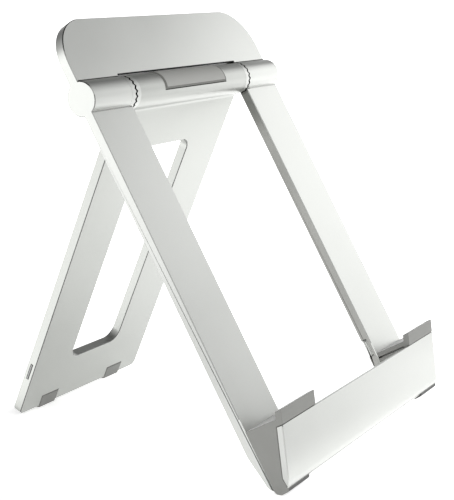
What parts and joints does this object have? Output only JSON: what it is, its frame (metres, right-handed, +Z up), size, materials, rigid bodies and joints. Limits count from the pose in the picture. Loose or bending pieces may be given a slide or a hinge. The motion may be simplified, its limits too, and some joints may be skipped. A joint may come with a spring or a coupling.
{
  "type": "tablet stand",
  "caption": "Folding tablet stand: open front frame with a lipped tray and silicone pads, and a windowed rear leg that turns on a toothed barrel hinge.",
  "frame": {"origin": "On the table, at the middle of the open stand's footprint, halfway across its width", "axes": "+Z up, +X to the right of someone facing the stand, front (tray side) towards -Y"},
  "size_m": [0.15, 0.1685, 0.1855],
  "materials": {
    "frame_aluminium": "satin anodised",
    "leg_aluminium": "satin anodised",
    "detent_aluminium": "satin anodised",
    "silicone": "matte moulded silicone",
    "bearing_bronze": "sintered",
    "spring_steel": "blued",
    "pin_steel": "ground",
    "screw_steel": "black oxide"
  },
  "bodies": {
    "frame": {"front_frame": "frame_aluminium", "tray_pad_left": "silicone", "tray_pad_right": "silicone", "detent_seat_left": "detent_aluminium", "detent_seat_right": "detent_aluminium", "hinge_bush_left": "bearing_bronze", "hinge_bush_right": "bearing_bronze", "friction_clip_left": "spring_steel", "friction_clip_right": "spring_steel", "thrust_washer_left": "bearing_bronze", "thrust_washer_right": "bearing_bronze", "pin_spring_left": "spring_steel", "pin_spring_right": "spring_steel"},
    "leg": {"rear_leg": "leg_aluminium", "barrel_pad": "silicone", "leg_foot_left": "silicone", "leg_foot_right": "silicone", "detent_ring_left": "detent_aluminium", "detent_ring_right": "detent_aluminium", "hinge_pin_left": "pin_steel", "hinge_pin_right": "pin_steel", "pin_screws": "screw_steel", "snap_blade_left": "spring_steel", "snap_blade_right": "spring_steel"}
  },
  "joints": [
    {"name": "leg_hinge", "type": "hinge", "parent": "frame", "child": "leg", "pos_m": [0, 0.00713, 0.1538], "axis": [1, 0, 0], "range_deg": [-54, 36]}
  ]
}
